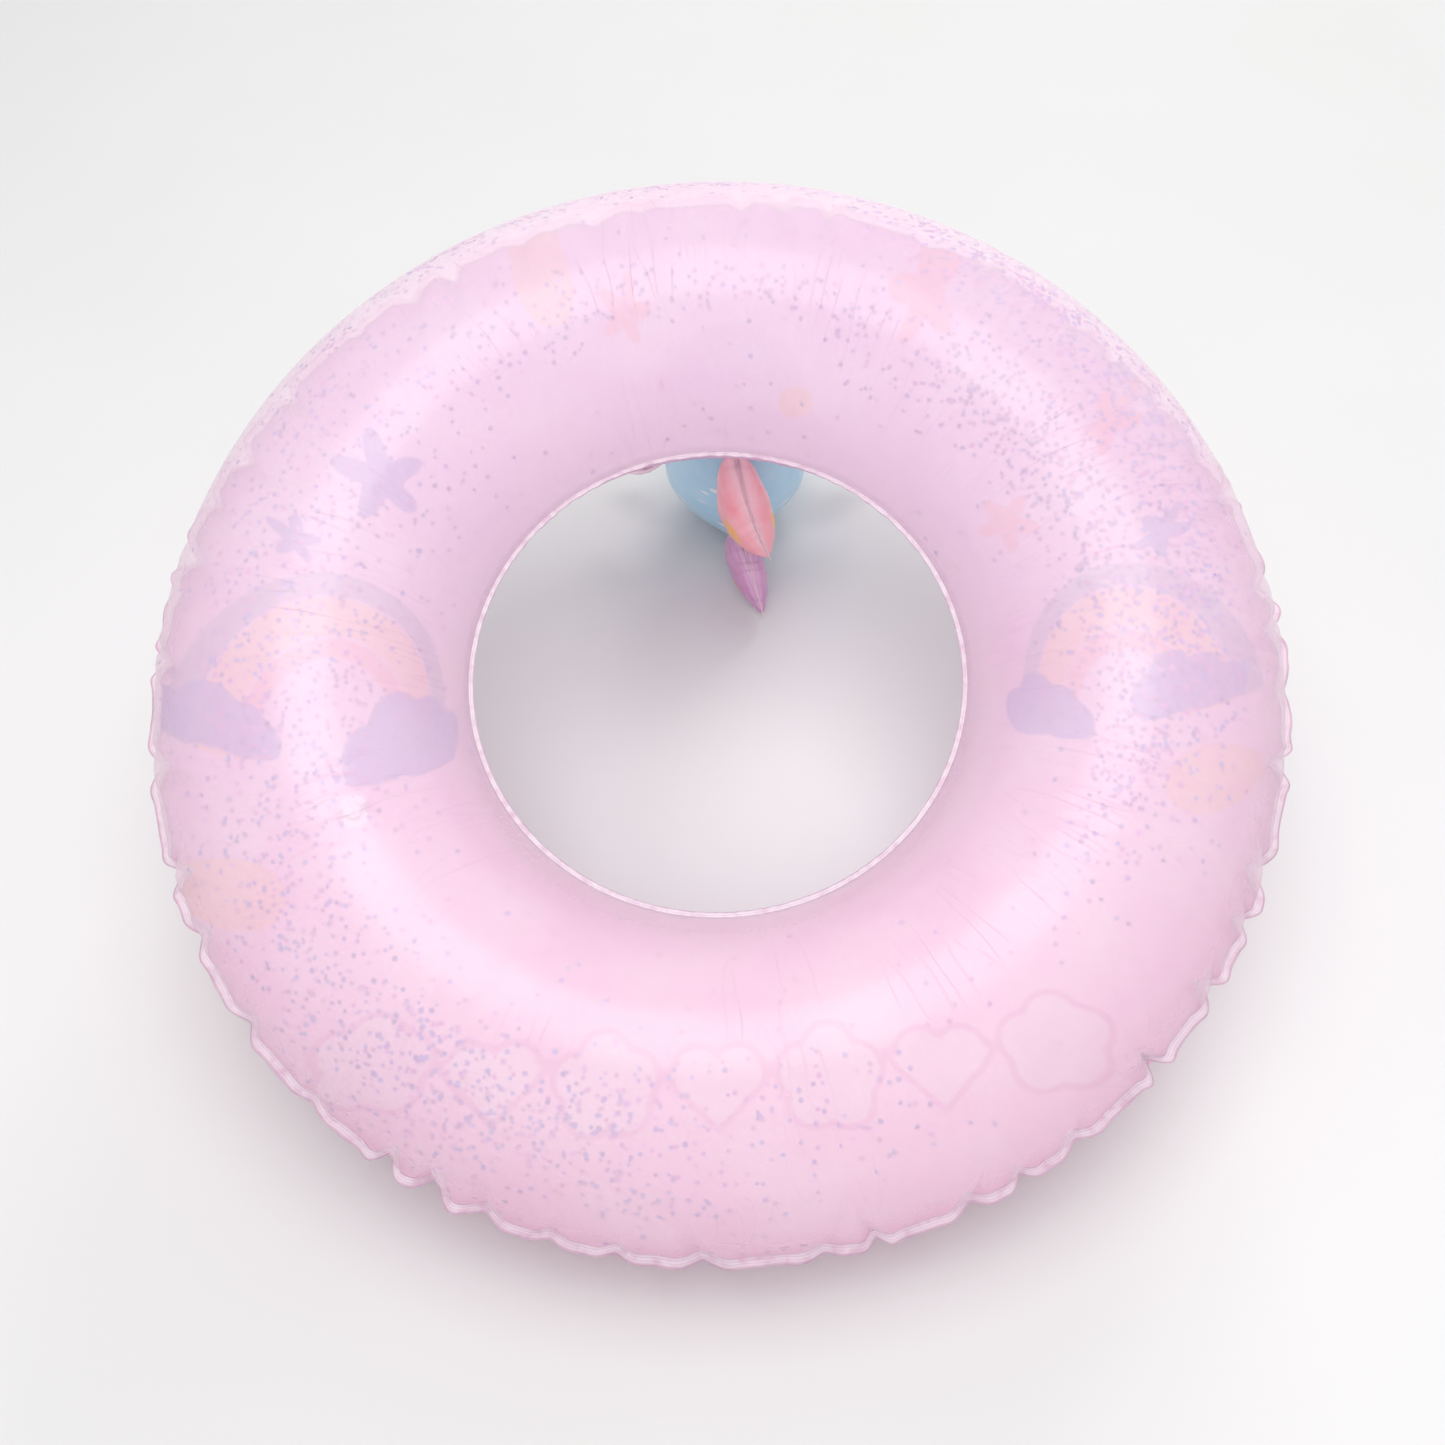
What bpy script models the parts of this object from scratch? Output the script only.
"""Inflatable swim ring with an inflated pony head, resting upside down on its near rim and its crown.

World frame: +Z up, floor at z = 0, the head on the far side (+Y). The ring and everything welded to it
are laid out in the ring's own frame (X across, Y towards the head, Z out of the back sheet) and hang
under one empty that holds the resting tilt. All lengths are in metres.
"""
import math
import random

import bmesh
import bpy
from mathutils import Matrix, Vector

# ---- Film and welds -------------------------------------------------------------------------------
FILM = 0.0003             # vinyl sheet
WELD_T = 2 * FILM         # two sheets fused
GAP = 0.0003              # clearance between pieces that touch

# ---- Ring chamber ---------------------------------------------------------------------------------
RIM_R = 0.375             # outer weld line
HOLE_R = 0.168            # inner weld line
CHAMBER_H = 0.0975        # half the inflated height
RIM_WELD = 0.006          # weld margin outside the outer line
HOLE_WELD = 0.004         # weld margin inside the inner line
WELD_LAP = 0.0015         # margin that stays between the sheets
RING_STEPS = 56
SECTION_STEPS = 9         # odd, so that the ridge of each sheet is a flat band
HOLE_CORNER = 0.45        # how far the sheets meet at a corner at the hole; 0 is a plain oval
SCALLOPS = 14             # puckers drawn in the outer margin
SCALLOP_D = 0.0015

# ---- Head chamber ---------------------------------------------------------------------------------
HEAD_AZIMUTH = math.radians(5.4)
HEAD_H = 0.241            # ring's front sheet to crown
HEAD_HALF_T = 0.060       # half the head's width, ear to ear
NECK_HALF = 0.046         # half the neck, back to front
NECK_T = 0.050            # half the neck's width
MUZZLE_REACH = 0.135      # ring's mid line to nose
MUZZLE_T = 0.040
HEAD_BENDS = (-90, -68, -43, -18, 18, 43, 68, 90)   # degrees from seam to seam over a side sheet
NECK_ROOT = -0.030        # the neck starts inside the tube and is cut back to its surface
CROWN_OUT = 0.024         # crown contact, outward of the tube's mid line
JAW_RISE = 0.103          # crown to jaw
FIN = 0.004               # weld margin that stands out of a seam
COLLAR_W = 0.010          # weld collar round the neck
COLLAR_T = 0.0006
COLLAR_STEPS = 32

# ---- Mane and ears --------------------------------------------------------------------------------
LEAF_BENDS = (-90, -30, 30, 90)
LEAF_ROWS = ((0, 0.75), (0.25, 1), (0.5, 0.92), (0.75, 0.6), (0.94, 0.2))   # place, share of the thickness
MANE_GAP = 0.0015         # mane roots behind the neck's weld margin
TIP_T = 0.0022            # half the thickness that a pillow keeps at its tip
CORAL_T = 0.022
PURPLE_T = 0.017
EAR_LENGTH = 0.055
EAR_HALF = 0.018
EAR_T = 0.010
EAR_Y = 0.040             # outward of the tube's mid line
EAR_DROP = 0.083          # crown to ear root
EAR_LEAN = math.radians(32)   # towards the crown

# ---- How it rests ---------------------------------------------------------------------------------
RIM_SQUASH = 0.005        # flattening of the near tube on the floor
CROWN_SQUASH = 0.008      # flattening of the crown
HALVINGS = 60             # steps of the search for the tilt

# ---- Valves ---------------------------------------------------------------------------------------
VALVE_AZIMUTH = math.radians(192)
NECK_VALVE_Q = 0.044      # height of the head's valve over the ring's sheet
DISC_R = 0.0125
DISC_T = 0.0010
COLLAR_WALL = 0.0012
COLLAR_H = 0.0030
STEM_R = 0.0062           # outside of the stem
STEM_BORE = 0.0040
STEM_OUT = 0.0160         # stem above the sheet
STEM_IN = 0.0060          # stem below the sheet
LIP_R = 0.0082
LIP_T = 0.0018
RUN = 0.0003              # running clearance of stem and plug
PLUG_DEPTH = 0.0085
PLUG_HEAD_T = 0.0020
FLAP_T = 0.0006
FLAP_R = 0.0052
TETHER_W = 0.0040
TETHER_T = 0.0008
TETHER_REACH = 0.0070
VALVE_STEPS = 20

# ---- Confetti -------------------------------------------------------------------------------------
FLAKES = 12
FLAKE_R = 0.0022
FLAKE_T = 0.0003
FLAKE_INSET = 0.004
FLAKE_SPREAD = (35, 145)  # degrees round the tube's section

# ---- Derived --------------------------------------------------------------------------------------
MID_R = (RIM_R + HOLE_R) / 2
CHAMBER_W = (RIM_R - HOLE_R) / 2
SEAM_GAP = WELD_T / 2 + GAP
RIDGE = 1 / math.cos(math.pi / (2 * SECTION_STEPS))   # lifts the flat band to the full height
JAW_Q = HEAD_H - JAW_RISE

COLORS = {
    "film_back": (0.93, 0.76, 0.87), "film_front": (0.90, 0.66, 0.80), "weld": (0.92, 0.86, 0.90),
    "blue": (0.38, 0.57, 0.71), "coral": (0.87, 0.34, 0.42), "purple": (0.56, 0.33, 0.55),
    "pink": (0.93, 0.55, 0.66), "valve": (0.88, 0.88, 0.90), "flake": (0.42, 0.34, 0.58),
}


# ---- Small builders -------------------------------------------------------------------------------
def material(name, color):
    mat = bpy.data.materials.new(name)
    mat.use_nodes = True
    shader = mat.node_tree.nodes["Principled BSDF"]
    shader.inputs["Base Color"].default_value = (*COLORS[color], 1)
    shader.inputs["Roughness"].default_value = 0.35
    shader.inputs["Metallic"].default_value = 0.0
    return mat


def add_object(name, bm, color, parent=None, place=Matrix(), smooth=False):
    mesh = bpy.data.meshes.new(name)
    bm.to_mesh(mesh)
    bm.free()
    if smooth:
        mesh.shade_smooth()
        mesh.set_sharp_from_angle(angle=math.radians(40))
    mesh.materials.append(material(name, color))
    obj = bpy.data.objects.new(name, mesh)
    bpy.context.scene.collection.objects.link(obj)
    obj.parent = parent
    obj.matrix_local = place
    return obj


def empty(name, parent, place):
    obj = bpy.data.objects.new(name, None)
    bpy.context.scene.collection.objects.link(obj)
    obj.parent = parent
    obj.matrix_local = place
    return obj


def shell(outer, inner, wrap=False):
    """Closed wall between two equal grids of points, rows by columns; rows join up when wrap is set.
    Both skins are split along the same diagonals, so a thin wall never crosses itself."""
    bm = bmesh.new()
    skins = [[[bm.verts.new(p) for p in row] for row in grid] for grid in (outer, inner)]
    rows, cols = len(outer), len(outer[0])

    def quad(a, b, c, d):
        bm.faces.new((a, b, c))
        bm.faces.new((a, c, d))

    for i in range(rows if wrap else rows - 1):
        k = (i + 1) % rows
        for j in range(cols - 1):
            for skin in skins:
                quad(skin[i][j], skin[k][j], skin[k][j + 1], skin[i][j + 1])
        for j in (0, cols - 1):
            quad(skins[0][i][j], skins[0][k][j], skins[1][k][j], skins[1][i][j])
    if not wrap:
        for i in (0, rows - 1):
            for j in range(cols - 1):
                quad(skins[0][i][j], skins[0][i][j + 1], skins[1][i][j + 1], skins[1][i][j])
    bmesh.ops.recalc_face_normals(bm, faces=bm.faces)
    return bm


def turned(profile, steps=VALVE_STEPS):
    """Closed outline of (radius, height) points turned about Z; points at radius 0 become poles."""
    bm = bmesh.new()
    verts = [bm.verts.new((r, 0, z)) for r, z in profile]
    edges = [bm.edges.new((a, b)) for a, b in zip(verts, verts[1:] + verts[:1])
             if a.co.x > 0 or b.co.x > 0]
    bmesh.ops.spin(bm, geom=verts + edges, cent=(0, 0, 0), axis=(0, 0, 1), angle=math.tau,
                   steps=steps, use_merge=True)
    bmesh.ops.remove_doubles(bm, verts=bm.verts, dist=1e-7)
    bmesh.ops.dissolve_degenerate(bm, edges=bm.edges, dist=1e-7)
    bmesh.ops.recalc_face_normals(bm, faces=bm.faces)
    return bm


def cut(obj, cutter, operation="DIFFERENCE"):
    mod = obj.modifiers.new("cut", "BOOLEAN")
    mod.operation = operation
    mod.solver = "EXACT"
    mod.object = cutter
    cutter.hide_render = True
    cutter.display_type = "WIRE"


# ---- Ring -----------------------------------------------------------------------------------------
def section_point(angle, offset):
    """Point of the tube's cross-section: radius from the ring's axis, height over the weld plane."""
    reach = math.cos(angle)
    if reach < 0:
        turn = abs(math.pi - angle)
        reach = (1 - HOLE_CORNER) * (1 - math.cos(turn)) + HOLE_CORNER * turn / (math.pi / 2) - 1
    return (MID_R + (CHAMBER_W + offset) * reach,
            (CHAMBER_H + offset) * math.sin(angle) * RIDGE)


def half_section(side, offset):
    """Rim to hole over one sheet (side 1 is the back, -1 the front), ending beside the weld margin."""
    points = [section_point(math.pi * j / SECTION_STEPS, offset) for j in range(SECTION_STEPS + 1)]
    return [(r, side * max(z, SEAM_GAP)) for r, z in points]


def around(r, z, i):
    a = math.tau * i / RING_STEPS
    return Vector((r * math.cos(a), r * math.sin(a), z))


def ring_sheet(name, side, color, frame):
    grids = []
    for offset, floor in ((0, 0), (-FILM, FILM)):
        grid = [[around(r, z, i) for r, z in half_section(side, offset)] for i in range(RING_STEPS)]
        grids.append([[flattened(p, frame, floor) for p in row] for row in grid])
    return add_object(name, shell(*grids, wrap=True), color, frame, smooth=True)


def flattened(point, frame, floor):
    """The point pressed up to the floor plane where the resting ring would pass through it."""
    world = frame.matrix_basis @ point
    world.z = max(world.z, floor)
    return frame.matrix_basis.inverted() @ world


def weld_margin(name, r_in, r_out, scallop, frame):
    grids = []
    for z in (-WELD_T / 2, WELD_T / 2):
        grid = []
        for i in range(RING_STEPS):
            wave = scallop * (math.cos(SCALLOPS * math.tau * i / RING_STEPS) - 1)
            grid.append([around(r_in, z, i), around(r_out + wave, z, i)])
        grids.append(grid)
    return add_object(name, shell(*grids, wrap=True), "weld", frame)


def tube_cutter(name, offset, frame):
    """Solid ring that stands proud of the sheets by the offset, for fitting what is welded to them."""
    bm = bmesh.new()
    loops = []
    for i in range(RING_STEPS):
        loops.append([bm.verts.new(around(*section_point(math.pi * j / SECTION_STEPS, offset), i))
                      for j in range(2 * SECTION_STEPS)])
    for a, b in zip(loops, loops[1:] + loops[:1]):
        for j in range(len(a)):
            bm.faces.new((a[j], b[j], b[(j + 1) % len(a)], a[(j + 1) % len(a)]))
    bmesh.ops.recalc_face_normals(bm, faces=bm.faces)
    return add_object(name, bm, "weld", frame)


def resting_frame():
    """Tilt and height at which the near tube and the crown both rest on the floor."""
    crown_y = MID_R + CROWN_OUT
    crown_d = CHAMBER_H + HEAD_H

    def crown_height(tilt):
        s, c = math.sin(tilt), math.cos(tilt)
        reach = math.hypot(CHAMBER_W * s, CHAMBER_H * c)
        centre = MID_R * s + reach - RIM_SQUASH
        return centre, centre + crown_y * s - crown_d * c + CROWN_SQUASH

    low, high = 0.0, math.radians(60)
    for _ in range(HALVINGS):
        tilt = (low + high) / 2
        if crown_height(tilt)[1] < 0:
            low = tilt
        else:
            high = tilt
    return Matrix.Translation((0, 0, crown_height(tilt)[0])) @ Matrix.Rotation(tilt, 4, "X")


# ---- Pillows: two sheets welded round their outline -----------------------------------------------
def side_lift(bends):
    return 1 / math.cos(math.radians(bends[len(bends) // 2]))


class Station:
    """One cross-section of a pillow, between its two seam points."""

    def __init__(self, seam_a, seam_b, side, thick):
        seam_a, seam_b = Vector(seam_a), Vector(seam_b)
        self.centre = (seam_a + seam_b) / 2
        self.across = (seam_b - seam_a).normalized()
        self.half = (seam_b - seam_a).length / 2
        self.side = Vector(side).normalized()
        self.thick = thick

    def sheet(self, which, inset, bends):
        """Points over one side sheet; the flat in the middle of the bends lies at the full thickness."""
        points = []
        lift = side_lift(bends)
        for a in map(math.radians, bends):
            out = max((self.thick - inset) * math.cos(a) * lift, SEAM_GAP)
            points.append(self.centre + self.across * (self.half - inset) * math.sin(a)
                          + self.side * which * out)
        return points


def pillow_sheet(name, stations, which, bends, color, parent, frame):
    rest = frame.matrix_basis @ parent.matrix_basis
    grids = []
    for inset in (0, FILM):
        grid = []
        for station in stations:
            row = []
            for p in station.sheet(which, inset, bends):
                world = rest @ p
                world.z = max(world.z, inset)
                row.append(rest.inverted() @ world)
            grid.append(row)
        grids.append(grid)
    return add_object(name, shell(*grids), color, parent, smooth=True)


def fin(name, edge, color, parent):
    """Weld margin along an edge: a strip lapping between the sheets and standing out of the seam."""
    grids = []
    for s in (-1, 1):
        grids.append([[p - out * WELD_LAP + side * s * WELD_T / 2, p + out * FIN + side * s * WELD_T / 2]
                      for p, out, side in edge])
    return add_object(name, shell(*grids), color, parent)


def outline(stations):
    """Edge points with outward and sideways directions, up one edge, round the tip and down the other."""
    tip = stations[-1]
    ahead = (tip.centre - stations[-2].centre).normalized()
    points = [(s.centre - s.across * s.half, -s.across, s.side) for s in stations]
    points += [(tip.centre + ahead * SEAM_GAP, ahead, tip.side)]
    points += [(s.centre + s.across * s.half, s.across, s.side) for s in reversed(stations)]
    return points


# ---- Head -----------------------------------------------------------------------------------------
def head_stations():
    """Neck from the ring to the poll, then the muzzle reaching outward; each row gives the mane side,
    the throat side and half the width there."""
    top, nose = HEAD_H, MUZZLE_REACH
    rows = [
        ((-NECK_HALF, NECK_ROOT), (NECK_HALF, NECK_ROOT), NECK_T),
        ((-NECK_HALF, 0.020), (NECK_HALF, 0.020), NECK_T),
        ((-NECK_HALF - 0.004, top - 0.158), (NECK_HALF + 0.003, JAW_Q - 0.067), NECK_T),
        ((-NECK_HALF - 0.002, top - 0.115), (NECK_HALF + 0.010, JAW_Q - 0.043), HEAD_HALF_T - 0.003),
        ((-NECK_HALF + 0.008, top - 0.073), (NECK_HALF + 0.019, JAW_Q - 0.026), HEAD_HALF_T),
        ((-NECK_HALF + 0.025, top - 0.034), (NECK_HALF + 0.029, JAW_Q - 0.014), HEAD_HALF_T),
        ((0.008, top - 0.009), (NECK_HALF + 0.039, JAW_Q - 0.007), HEAD_HALF_T),
        ((0.038, top + 0.003), (nose - 0.044, JAW_Q - 0.002), HEAD_HALF_T),
        ((0.072, top - 0.003), (nose - 0.034, JAW_Q + 0.002), HEAD_HALF_T - 0.005),
        ((nose - 0.036, top - 0.021), (nose - 0.024, JAW_Q + 0.007), MUZZLE_T + 0.006),
        ((nose - 0.015, top - 0.040), (nose - 0.014, JAW_Q + 0.014), MUZZLE_T),
        ((nose - 0.004, top - 0.054), (nose - 0.007, JAW_Q + 0.022), MUZZLE_T * 0.65),
        ((nose, top - 0.065), (nose - 0.002, JAW_Q + 0.031), 0.007),
    ]
    return [Station((0, *mane), (0, *throat), (1, 0, 0), thick) for mane, throat, thick in rows]


def head_frame():
    """At the middle of the ring's front sheet: Y outward, Z away from the sheet, X towards the ring's -X."""
    place = Matrix.Translation((0, MID_R, -CHAMBER_H)) @ Matrix.Rotation(math.pi, 4, "Y")
    return Matrix.Rotation(-HEAD_AZIMUTH, 4, "Z") @ place


def make_pillow(name, stations, color, parent, frame):
    """Left sheet, right sheet and the weld that joins them, open at the root where it is welded on."""
    for which, label in ((1, "left"), (-1, "right")):
        pillow_sheet(f"{name}_{label}_sheet", stations, which, LEAF_BENDS, color, parent, frame)
    fin(f"{name}_weld", outline(stations), "weld", parent)


def make_head(frame, root_cutter):
    parent = empty("head_frame", frame, head_frame())
    stations = head_stations()
    for which, label in ((1, "left"), (-1, "right")):
        obj = pillow_sheet(f"head_{label}_sheet", stations, which, HEAD_BENDS, "blue", parent, frame)
        cut(obj, root_cutter)
    rest = frame.matrix_basis @ parent.matrix_basis
    runs = [[]]
    for point, out, side in outline(stations):
        if (rest @ (point + out * FIN)).z > GAP:
            runs[-1].append((point, out, side))
        elif runs[-1]:
            runs.append([])
    for label, run in zip(("back", "front"), runs):
        obj = fin(f"head_{label}_weld", run, "weld", parent)
        cut(obj, root_cutter)
    return parent


def neck_collar(parent, frame, proud_cutter, root_cutter):
    """Oval strip welded to the ring's sheet round the foot of the neck."""
    grids = []
    foot_x, foot_y = NECK_T * side_lift(HEAD_BENDS) + 2 * GAP, NECK_HALF + FIN + 2 * GAP
    for grow in (COLLAR_W, 0):
        grid = []
        for i in range(COLLAR_STEPS):
            a = math.tau * i / COLLAR_STEPS
            x, y = math.cos(a) * (foot_x + grow), math.sin(a) * (foot_y + grow)
            grid.append([Vector((x, y, z)) for z in (NECK_ROOT, COLLAR_W)])
        grids.append(grid)
    obj = add_object("neck_weld_collar", shell(*grids, wrap=True), "weld", parent)
    cut(obj, proud_cutter, "INTERSECT")
    cut(obj, root_cutter)


# ---- Mane and ears --------------------------------------------------------------------------------
def bend(start, control, end, t):
    """Point on a quadratic curve."""
    return start * (1 - t) ** 2 + control * 2 * t * (1 - t) + end * t ** 2


def leaf(low, low_bend, high, high_bend, tip, thick, root_side=None):
    """Stations of a pointed pillow whose two edges run from the ends of its root line to its tip; it
    twists from root_side to the side that its lean gives it."""
    low, low_bend, high, high_bend, tip = (Vector(p) for p in (low, low_bend, high, high_bend, tip))
    tip_side = (tip - low).cross(high - low).normalized()
    root_side = Vector(root_side or tip_side)
    tip_side *= math.copysign(1, tip_side.dot(root_side))
    stations = []
    for t, fat in LEAF_ROWS:
        side = root_side.lerp(tip_side, t)
        stations.append(Station(bend(low, low_bend, tip, t), bend(high, high_bend, tip, t), side,
                                max(thick * fat, TIP_T)))
    return stations


def make_mane(parent, frame):
    """Two leaves behind the neck, a coral one from the ring up and a purple one at the poll."""
    back = -NECK_HALF - FIN - MANE_GAP
    sideways = (1, 0, 0)
    top = HEAD_H
    coral = leaf(low=(-0.004, back - 0.006, -0.013), low_bend=(-0.012, back - 0.046, 0.010),
                 high=(-0.004, back - 0.007, top - 0.157), high_bend=(-0.018, back - 0.030, top - 0.137),
                 tip=(-0.032, back - 0.045, top - 0.154), thick=CORAL_T, root_side=sideways)
    purple = leaf(low=(-0.006, back - 0.004, top - 0.117), low_bend=(-0.018, back - 0.044, top - 0.116),
                  high=(-0.004, back + 0.005, top - 0.066), high_bend=(-0.014, back - 0.024, top - 0.058),
                  tip=(-0.027, back - 0.062, top - 0.076), thick=PURPLE_T, root_side=sideways)
    make_pillow("mane_coral", coral, "coral", parent, frame)
    make_pillow("mane_purple", purple, "purple", parent, frame)


def make_ears(parent, frame):
    """Each ear stands out sideways and a little towards the crown, root against the head's side."""
    reach, rise = EAR_LENGTH * math.cos(EAR_LEAN), EAR_LENGTH * math.sin(EAR_LEAN)
    root_x, root_z = HEAD_HALF_T + EAR_T * 0.45, HEAD_H - EAR_DROP
    for label, s in (("left", 1), ("right", -1)):
        root_low, root_high = ((s * root_x, EAR_Y + k * EAR_HALF * 0.7, root_z) for k in (-1, 1))
        bend_low, bend_high = ((s * (root_x + reach / 2), EAR_Y + k * EAR_HALF * 1.6, root_z + rise / 2)
                               for k in (-1, 1))
        tip = (s * (root_x + reach), EAR_Y + EAR_HALF / 3, root_z + rise)
        ear = leaf(root_low, bend_low, root_high, bend_high, tip, EAR_T)
        make_pillow(f"ear_{label}", ear, "pink", parent, frame)


# ---- Valves ---------------------------------------------------------------------------------------
def make_valve(prefix, parent, place, sheets):
    """Weld disc, stem, check flap, plug and tether about the Z axis of place, which is the sheet's face."""
    seat = -FILM - GAP
    root = empty(f"{prefix}_valve_axis", parent, place)
    collar_r = STEM_R + RUN + COLLAR_WALL
    hole = bmesh.new()
    bmesh.ops.create_cone(hole, cap_ends=True, segments=VALVE_STEPS, radius1=collar_r + GAP,
                          radius2=collar_r + GAP, depth=4 * COLLAR_H)
    cutter = add_object(f"{prefix}_valve_hole", hole, "weld", root)
    for sheet in sheets:
        cut(sheet, cutter)
    add_object(f"{prefix}_valve_disc", turned([
        (STEM_R + RUN, seat - DISC_T), (DISC_R, seat - DISC_T), (DISC_R, seat), (collar_r, seat),
        (collar_r, COLLAR_H), (STEM_R + RUN, COLLAR_H)]), "valve", root, smooth=True)
    lip = STEM_OUT - LIP_T
    add_object(f"{prefix}_valve_stem", turned([
        (STEM_BORE, -STEM_IN), (STEM_R, -STEM_IN), (STEM_R, lip), (LIP_R, lip),
        (LIP_R, STEM_OUT), (STEM_BORE, STEM_OUT)]), "valve", root, smooth=True)
    flap = turned([(0, 0), (FLAP_R, 0), (FLAP_R, FLAP_T), (0, FLAP_T)])
    flap.transform(Matrix.Translation((FLAP_R, 0, 0)))
    hinge = Matrix.Translation((-FLAP_R, 0, -STEM_IN - GAP - FLAP_T))
    add_object(f"{prefix}_valve_flap", flap, "valve", root, hinge)
    shank, cap = STEM_BORE - RUN, STEM_OUT + GAP
    add_object(f"{prefix}_valve_plug", turned([
        (0, cap - PLUG_DEPTH), (shank * 0.8, cap - PLUG_DEPTH), (shank, cap - PLUG_DEPTH * 0.75),
        (shank, cap), (LIP_R, cap), (LIP_R, cap + PLUG_HEAD_T), (0, cap + PLUG_HEAD_T)]),
        "valve", root, smooth=True)
    low, high = lip + LIP_T / 2, cap + PLUG_HEAD_T / 2
    mid, bend = (low + high) / 2, (high - low) / 2
    inner, outer = [], []
    start = LIP_R + GAP
    turn = [math.pi * (k / 6 - 0.5) for k in range(7)]
    path = [(start, low, 0)] + [(start + TETHER_REACH + bend * math.cos(a), mid + bend * math.sin(a), a)
                                for a in turn] + [(start, high, 0)]
    for x, z, a in path:
        away = Vector((math.cos(a), 0, math.sin(a)))
        if x == start:
            away = Vector((0, 0, -1 if z == low else 1))
        for grid, d in ((outer, TETHER_T / 2), (inner, -TETHER_T / 2)):
            grid.append([Vector((x, y, z)) + away * d for y in (-TETHER_W / 2, TETHER_W / 2)])
    add_object(f"{prefix}_valve_tether", shell(outer, inner), "valve", root)


# ---- Confetti -------------------------------------------------------------------------------------
def make_confetti(frame):
    """A few of the loose flakes that cling to the inside of the ring."""
    draw = random.Random(7)
    for k in range(FLAKES):
        azimuth = math.tau * (k + draw.random() * 0.6) / FLAKES
        angle = math.radians(draw.uniform(*FLAKE_SPREAD))
        r, z = section_point(angle, -FLAKE_INSET)
        place = Matrix.Rotation(azimuth, 4, "Z") @ Matrix.Translation((r, 0, z / RIDGE))
        tilt = Matrix.Rotation(math.pi / 2 - angle, 4, "Y")
        bm = bmesh.new()
        bmesh.ops.create_cone(bm, cap_ends=True, segments=6, radius1=FLAKE_R, radius2=FLAKE_R, depth=FLAKE_T)
        add_object(f"confetti_flake_{k + 1:02d}", bm, "flake", frame, place @ tilt)


# ---- Whole object ---------------------------------------------------------------------------------
def main():
    for obj in list(bpy.data.objects):
        bpy.data.objects.remove(obj)
    frame = empty("ring_frame", None, resting_frame())
    back = ring_sheet("ring_back_sheet", 1, "film_back", frame)
    front = ring_sheet("ring_front_sheet", -1, "film_front", frame)
    weld_margin("ring_rim_weld", RIM_R - WELD_LAP, RIM_R + RIM_WELD, SCALLOP_D, frame)
    weld_margin("ring_hole_weld", HOLE_R - HOLE_WELD, HOLE_R + WELD_LAP, 0, frame)
    root_cutter = tube_cutter("tube_clearance", GAP, frame)
    proud_cutter = tube_cutter("collar_face", GAP + COLLAR_T, frame)
    head = make_head(frame, root_cutter)
    neck_collar(head, frame, proud_cutter, root_cutter)
    make_mane(head, frame)
    make_ears(head, frame)
    down = Matrix.Rotation(math.pi, 4, "X")
    ring_valve = Matrix.Rotation(VALVE_AZIMUTH, 4, "Z") @ Matrix.Translation((MID_R, 0, -CHAMBER_H))
    make_valve("ring", frame, ring_valve @ down, [front])
    neck = Matrix.Translation((-NECK_T, 0, NECK_VALVE_Q)) @ Matrix.Rotation(-math.pi / 2, 4, "Y")
    make_valve("head", head, neck, [bpy.data.objects["head_right_sheet"]])
    make_confetti(frame)
    centre_on_floor(frame)


def centre_on_floor(frame):
    """Moves everything sideways until the middle of its footprint box is over the origin."""
    bpy.context.view_layer.update()
    corners = [obj.matrix_world @ v.co for obj in bpy.data.objects
               if obj.type == "MESH" and not obj.hide_render for v in obj.data.vertices]
    for axis in (0, 1):
        values = [c[axis] for c in corners]
        frame.location[axis] -= (min(values) + max(values)) / 2


main()
